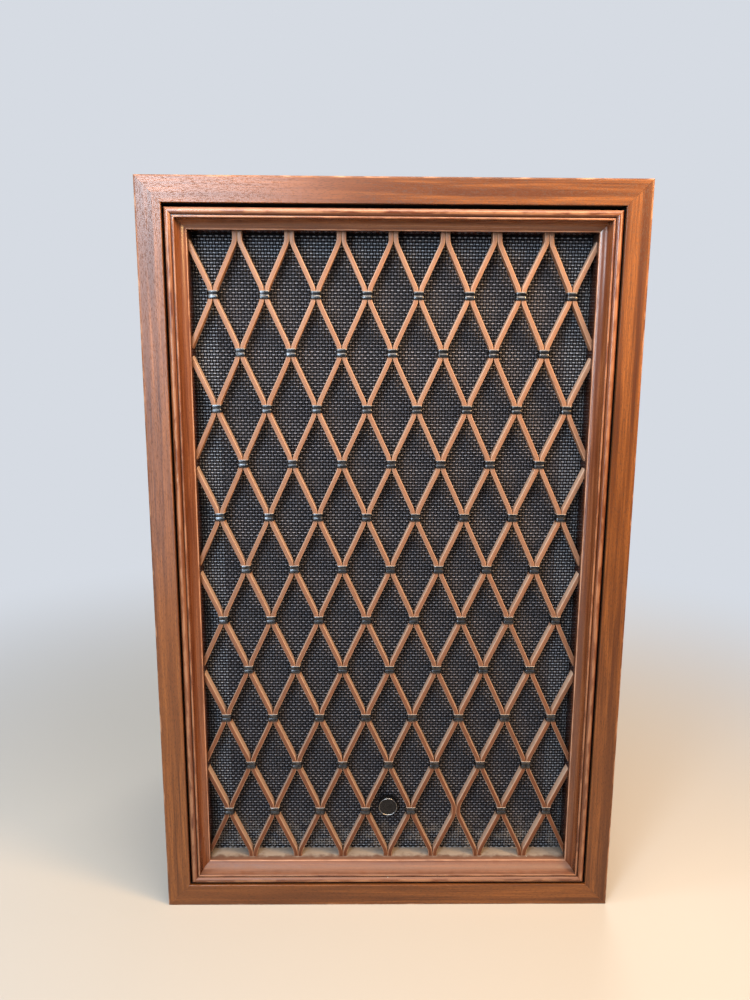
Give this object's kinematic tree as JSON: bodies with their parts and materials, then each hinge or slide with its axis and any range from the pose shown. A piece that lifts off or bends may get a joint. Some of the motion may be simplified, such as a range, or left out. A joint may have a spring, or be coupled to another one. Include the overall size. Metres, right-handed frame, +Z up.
{
  "type": "bookshelf loudspeaker",
  "caption": "Wooden bookshelf loudspeaker with a removable lattice grille over dark cloth, cone drivers inside, and terminals and level controls on its back.",
  "frame": {"origin": "centre of the cabinet's base, on the surface it stands on", "axes": "+Z up, front facing -Y, +X to the right as seen from the front"},
  "size_m": [0.38, 0.292, 0.597],
  "materials": {
    "walnut": "oiled walnut veneer",
    "moulding": "satin stained moulding",
    "lattice_wood": "satin lacquered strips",
    "clip_metal": "dark shiny plating",
    "cloth": "coarse open plain weave",
    "board": "dark stained board",
    "badge": "bare, glossy",
    "pegs": "matt",
    "pressed_steel": "satin black paint",
    "plate_steel": "zinc plated",
    "magnet": "ferrite",
    "cone_paper": "pressed paper pulp",
    "edge_cloth": "treated cloth",
    "gasket": "matt",
    "coil": "lacquered copper wire",
    "screws": "blackened",
    "capacitors": "sleeved",
    "leads": "insulated",
    "wadding": "loose fibre",
    "terminal_plate": "moulded",
    "terminal_metal": "nickelled",
    "controls": "plated",
    "knobs": "moulded"
  },
  "bodies": {
    "cabinet": {"cabinet_top": "walnut", "cabinet_bottom": "walnut", "cabinet_left_side": "walnut", "cabinet_right_side": "walnut", "front_baffle": "board", "back_panel": "board", "cleats": "board", "crossover_board": "board", "peg_sockets": "pegs", "woofer_frame": "pressed_steel", "midrange_frame": "pressed_steel", "tweeter_frame": "pressed_steel", "woofer_top_plate": "plate_steel", "woofer_yoke": "plate_steel", "midrange_top_plate": "plate_steel", "midrange_yoke": "plate_steel", "tweeter_top_plate": "plate_steel", "tweeter_yoke": "plate_steel", "woofer_magnet": "magnet", "midrange_magnet": "magnet", "tweeter_magnet": "magnet", "woofer_surround": "edge_cloth", "midrange_surround": "edge_cloth", "tweeter_surround": "edge_cloth", "woofer_spider": "edge_cloth", "midrange_spider": "edge_cloth", "woofer_gasket": "gasket", "crossover_coils": "coil", "driver_screws": "screws", "panel_screws": "screws", "crossover_capacitors": "capacitors", "wiring_leads": "leads", "damping_pads": "wadding", "terminal_plate": "terminal_plate", "terminal_posts": "terminal_metal", "level_controls": "controls"},
    "grille": {"grille_rail_top": "moulding", "grille_rail_bottom": "moulding", "grille_rail_left": "moulding", "grille_rail_right": "moulding", "lattice_strips_odd": "lattice_wood", "lattice_strips_even": "lattice_wood", "lattice_clips": "clip_metal", "grille_cloth": "cloth", "grille_battens": "board", "badge": "badge", "grille_pegs": "pegs"},
    "woofer_moving": {"woofer_cone": "cone_paper", "woofer_dust_cap": "cone_paper", "woofer_voice_coil": "coil"},
    "midrange_moving": {"midrange_cone": "cone_paper", "midrange_voice_coil": "coil"},
    "tweeter_moving": {"tweeter_cone": "cone_paper", "tweeter_voice_coil": "coil"},
    "midrange_knob": {"midrange_level_knob": "knobs"},
    "tweeter_knob": {"tweeter_level_knob": "knobs"},
    "washer_left": {"terminal_washer_left": "terminal_metal"},
    "nut_left": {"terminal_nut_left": "terminal_metal"},
    "washer_right": {"terminal_washer_right": "terminal_metal"},
    "nut_right": {"terminal_nut_right": "terminal_metal"}
  },
  "joints": [
    {"name": "grille_pull", "type": "slide", "parent": "cabinet", "child": "grille", "axis": [0, -1, 0], "range_m": [0, 0.065]},
    {"name": "woofer_travel", "type": "slide", "parent": "cabinet", "child": "woofer_moving", "axis": [0, -1, 0], "range_m": [-0.006, 0.006], "stiffness_N_per_m": 1500, "deforming": ["woofer_surround", "woofer_spider"]},
    {"name": "midrange_travel", "type": "slide", "parent": "cabinet", "child": "midrange_moving", "axis": [0, -1, 0], "range_m": [-0.0015, 0.0015], "stiffness_N_per_m": 800, "deforming": ["midrange_surround", "midrange_spider"]},
    {"name": "tweeter_travel", "type": "slide", "parent": "cabinet", "child": "tweeter_moving", "axis": [0, -1, 0], "range_m": [-0.0005, 0.0005], "stiffness_N_per_m": 300, "deforming": ["tweeter_surround"]},
    {"name": "midrange_level_turn", "type": "hinge", "parent": "cabinet", "child": "midrange_knob", "pos_m": [-0.038, 0.1316, 0.185], "axis": [0, 1, 0], "range_deg": [-150, 150]},
    {"name": "tweeter_level_turn", "type": "hinge", "parent": "cabinet", "child": "tweeter_knob", "pos_m": [0.038, 0.1316, 0.185], "axis": [0, 1, 0], "range_deg": [-150, 150]},
    {"name": "washer_left_travel", "type": "slide", "parent": "cabinet", "child": "washer_left", "axis": [0, 1, 0], "range_m": [0, 0.0021]},
    {"name": "nut_left_turn", "type": "hinge", "parent": "washer_left", "child": "nut_left", "pos_m": [-0.022, 0.1336, 0.152], "axis": [0, 1, 0], "range_deg": [0, 1080]},
    {"name": "washer_right_travel", "type": "slide", "parent": "cabinet", "child": "washer_right", "axis": [0, 1, 0], "range_m": [0, 0.0021]},
    {"name": "nut_right_turn", "type": "hinge", "parent": "washer_right", "child": "nut_right", "pos_m": [0.022, 0.1336, 0.152], "axis": [0, 1, 0], "range_deg": [0, 1080]}
  ],
  "couplings": [
    {"joint": "nut_left_turn", "follows": "washer_left_travel", "rad_per_m": 8975.9},
    {"joint": "nut_right_turn", "follows": "washer_right_travel", "rad_per_m": 8975.9}
  ]
}
